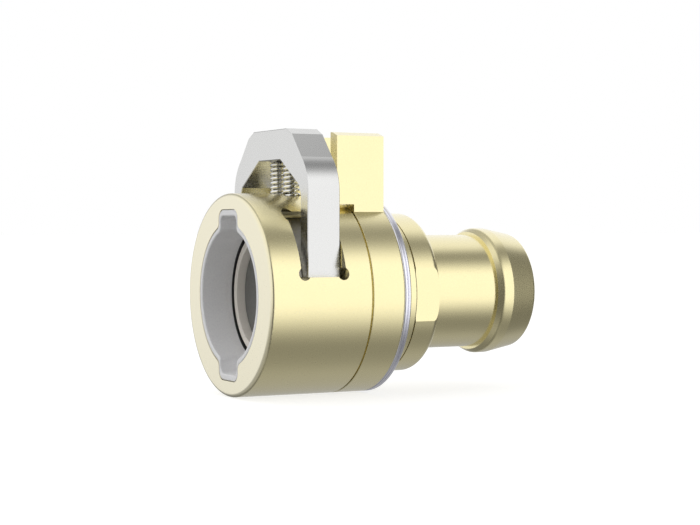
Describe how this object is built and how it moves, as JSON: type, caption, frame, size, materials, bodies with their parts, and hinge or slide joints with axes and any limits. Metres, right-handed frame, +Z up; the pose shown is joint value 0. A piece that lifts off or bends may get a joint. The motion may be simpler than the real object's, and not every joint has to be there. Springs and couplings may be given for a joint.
{
  "type": "non-spill quick coupling",
  "caption": "Hose-end quick coupling with a keyed plug socket, a press-down latch between guard walls and a flat-face valve that shuts when it is unplugged.",
  "frame": {"origin": "centre of the mouth face, on the flow axis", "axes": "+X along the flow axis, from the mouth to the hose end; +Z up to the latch; +Y completes the right hand"},
  "size_m": [0.0549, 0.034, 0.0447],
  "materials": {
    "gold_metal": "satin, yellow chromated",
    "steel_bush": "fine matt",
    "steel_band": "satin",
    "satin_steel": "satin plate",
    "steel_pin": "ground",
    "spring_wire": "bright drawn wire",
    "valve_metal": "turned",
    "poppet_metal": "dark turned",
    "seal_rubber": "moulded",
    "backup_plastic": "machined"
  },
  "bodies": {
    "root": {"front_sleeve": "gold_metal", "key_bush": "steel_bush", "guide_tube": "steel_bush", "guard_collar": "gold_metal", "rear_band": "steel_band", "hose_tail": "gold_metal", "latch_spring_left": "spring_wire", "latch_spring_right": "spring_wire", "valve_spring": "spring_wire", "stem_carrier": "valve_metal", "poppet_stem": "poppet_metal", "stem_washer": "steel_pin", "stem_nut": "steel_pin", "poppet_seal": "seal_rubber", "carrier_seal": "seal_rubber", "carrier_backup_ring": "backup_plastic", "carrier_flange_seal": "seal_rubber", "tail_seal": "seal_rubber"},
    "latch": {"latch_fork": "satin_steel", "latch_catch_left": "steel_pin", "latch_catch_right": "steel_pin"},
    "valve": {"valve_sleeve": "valve_metal"}
  },
  "joints": [
    {"name": "latch_press", "type": "slide", "parent": "root", "child": "latch", "axis": [0, 0, 1], "range_m": [-0.003, 0], "stiffness_N_per_m": 1500, "springref_m": 0.002, "deforming": ["latch_spring_left", "latch_spring_right"]},
    {"name": "valve_slide", "type": "slide", "parent": "root", "child": "valve", "axis": [1, 0, 0], "range_m": [0, 0.0075], "stiffness_N_per_m": 3000, "springref_m": -0.005, "deforming": ["valve_spring"]}
  ]
}
